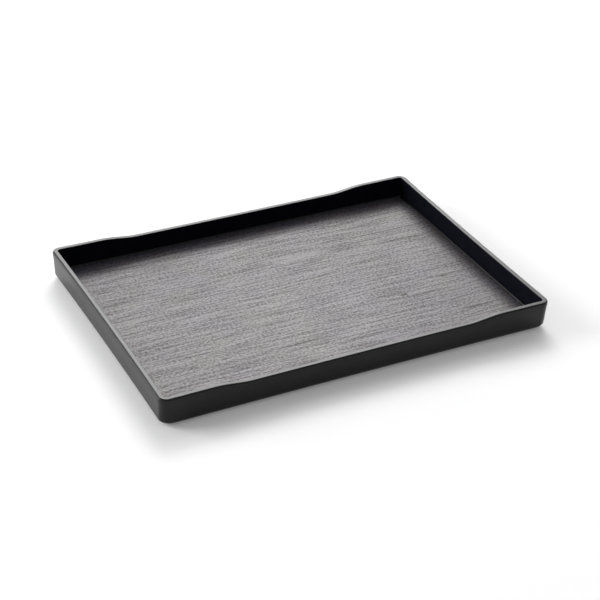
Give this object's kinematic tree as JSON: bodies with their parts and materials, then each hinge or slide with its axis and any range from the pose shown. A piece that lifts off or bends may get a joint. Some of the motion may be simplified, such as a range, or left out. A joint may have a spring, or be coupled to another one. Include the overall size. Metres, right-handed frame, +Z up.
{
  "type": "hotel room tray",
  "caption": "Flat rectangular serving tray with low drafted walls, shallow hand dips in the long sides and a wood-grain textured floor.",
  "frame": {"origin": "centre of the footprint, on the surface that the feet stand on", "axes": "+X along the long sides, +Y from front to back across the tray, +Z up out of the tray"},
  "size_m": [0.3496, 0.2498, 0.0265],
  "materials": {
    "shell": "satin black moulding",
    "inlay": "dark wood-grain relief",
    "foot": "matt black"
  },
  "bodies": {
    "root": {"tray_shell": "shell", "floor_inlay": "inlay", "foot_front_left": "foot", "foot_front_right": "foot", "foot_back_left": "foot", "foot_back_right": "foot"}
  },
  "joints": []
}
